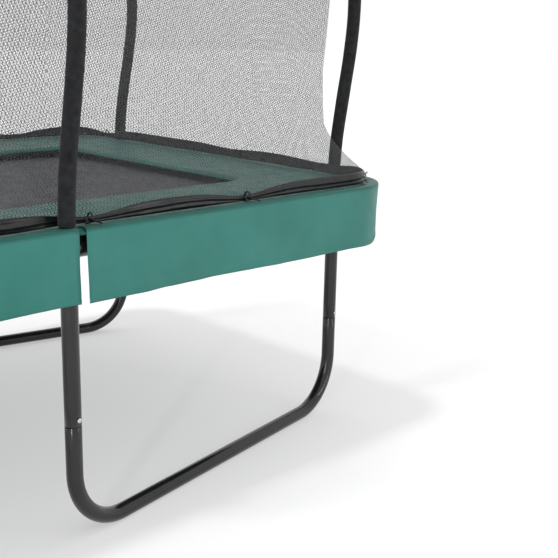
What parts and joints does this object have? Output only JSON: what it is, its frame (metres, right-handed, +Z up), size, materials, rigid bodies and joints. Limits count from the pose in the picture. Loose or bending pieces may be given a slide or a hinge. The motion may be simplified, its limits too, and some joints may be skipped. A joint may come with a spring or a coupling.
{
  "type": "backyard trampoline",
  "caption": "Rectangular backyard trampoline on U-shaped tube legs, with a green safety pad and skirt and a net enclosure on padded poles.",
  "frame": {"origin": "on the ground, under the centre of the object", "axes": "+Z up, +X along the long side towards the end that has no leg under it, +Y across the width"},
  "size_m": [2.251, 1.641, 2.2427],
  "materials": {
    "black_steel": "satin black powder coat, with long soft reflections",
    "zinc_screw": "bright zinc plate",
    "zinc_spring": "zinc plated spring wire",
    "foam_sleeve": "matt closed-cell foam tube",
    "mat_fabric": "tight woven polypropylene, dark grey",
    "webbing": "black webbing and vinyl binding with a slight shine",
    "green_vinyl": "green coated vinyl, soft sheen and fine wrinkles",
    "net_mesh": "open knitted polyester mesh, see-through",
    "zip_plastic": "black zip tape with moulded teeth"
  },
  "bodies": {
    "frame": {"leg_near_right": "black_steel", "leg_far_right": "black_steel", "leg_left_end": "black_steel", "leg_post_near_mid": "black_steel", "leg_post_right_near": "black_steel", "leg_post_right_far": "black_steel", "leg_post_far_mid": "black_steel", "leg_post_left_far": "black_steel", "leg_post_left_near": "black_steel", "leg_screw_near_mid": "zinc_screw", "leg_screw_right_near": "zinc_screw", "leg_screw_right_far": "zinc_screw", "leg_screw_far_mid": "zinc_screw", "leg_screw_left_far": "zinc_screw", "leg_screw_left_near": "zinc_screw", "frame_tee_near_mid": "black_steel", "frame_tee_right_near": "black_steel", "frame_tee_right_far": "black_steel", "frame_tee_far_mid": "black_steel", "frame_tee_left_far": "black_steel", "frame_tee_left_near": "black_steel", "frame_tube_near_right": "black_steel", "frame_tube_far_right": "black_steel", "frame_tube_far_left": "black_steel", "frame_tube_near_left": "black_steel", "frame_tube_right_end": "black_steel", "frame_tube_left_end": "black_steel", "net_pole_near_mid": "black_steel", "net_pole_right_near": "black_steel", "net_pole_right_far": "black_steel", "net_pole_far_mid": "black_steel", "net_pole_left_far": "black_steel", "net_pole_left_near": "black_steel", "foam_sleeve_near_mid": "foam_sleeve", "foam_sleeve_right_near": "foam_sleeve", "foam_sleeve_right_far": "foam_sleeve", "foam_sleeve_far_mid": "foam_sleeve", "foam_sleeve_left_far": "foam_sleeve", "foam_sleeve_left_near": "foam_sleeve", "safety_pad": "green_vinyl", "skirt_near_mid_to_right_near": "green_vinyl", "skirt_right_near_to_right_far": "green_vinyl", "skirt_right_far_to_far_mid": "green_vinyl", "skirt_far_mid_to_left_far": "green_vinyl", "skirt_left_far_to_left_near": "green_vinyl", "skirt_left_near_to_near_mid": "green_vinyl", "enclosure_net": "net_mesh", "net_bottom_hem": "webbing", "net_top_band": "webbing", "zip_tape": "zip_plastic"},
    "mat": {"jumping_mat": "mat_fabric", "mat_edge_webbing": "webbing", "spring_row_near": "zinc_spring", "spring_row_right": "zinc_spring", "spring_row_far": "zinc_spring", "spring_row_left": "zinc_spring"},
    "zip_slider": {"zip_slider": "zinc_screw"},
    "zip_pull": {"zip_pull": "zinc_screw"}
  },
  "joints": [
    {"name": "mat_bounce", "type": "slide", "parent": "frame", "child": "mat", "axis": [0, 0, 1], "range_m": [-0.2, 0], "stiffness_N_per_m": 12000, "springref_m": 0.004, "deforming": ["spring_row_near", "spring_row_right", "spring_row_far", "spring_row_left"]},
    {"name": "zip_travel", "type": "slide", "parent": "frame", "child": "zip_slider", "axis": [0, 0, 1], "range_m": [0, 0.86]},
    {"name": "zip_pull_swing", "type": "hinge", "parent": "zip_slider", "child": "zip_pull", "pos_m": [-1.0395, 0, 0.774], "axis": [0, 1, 0], "range_deg": [0, 150]}
  ]
}
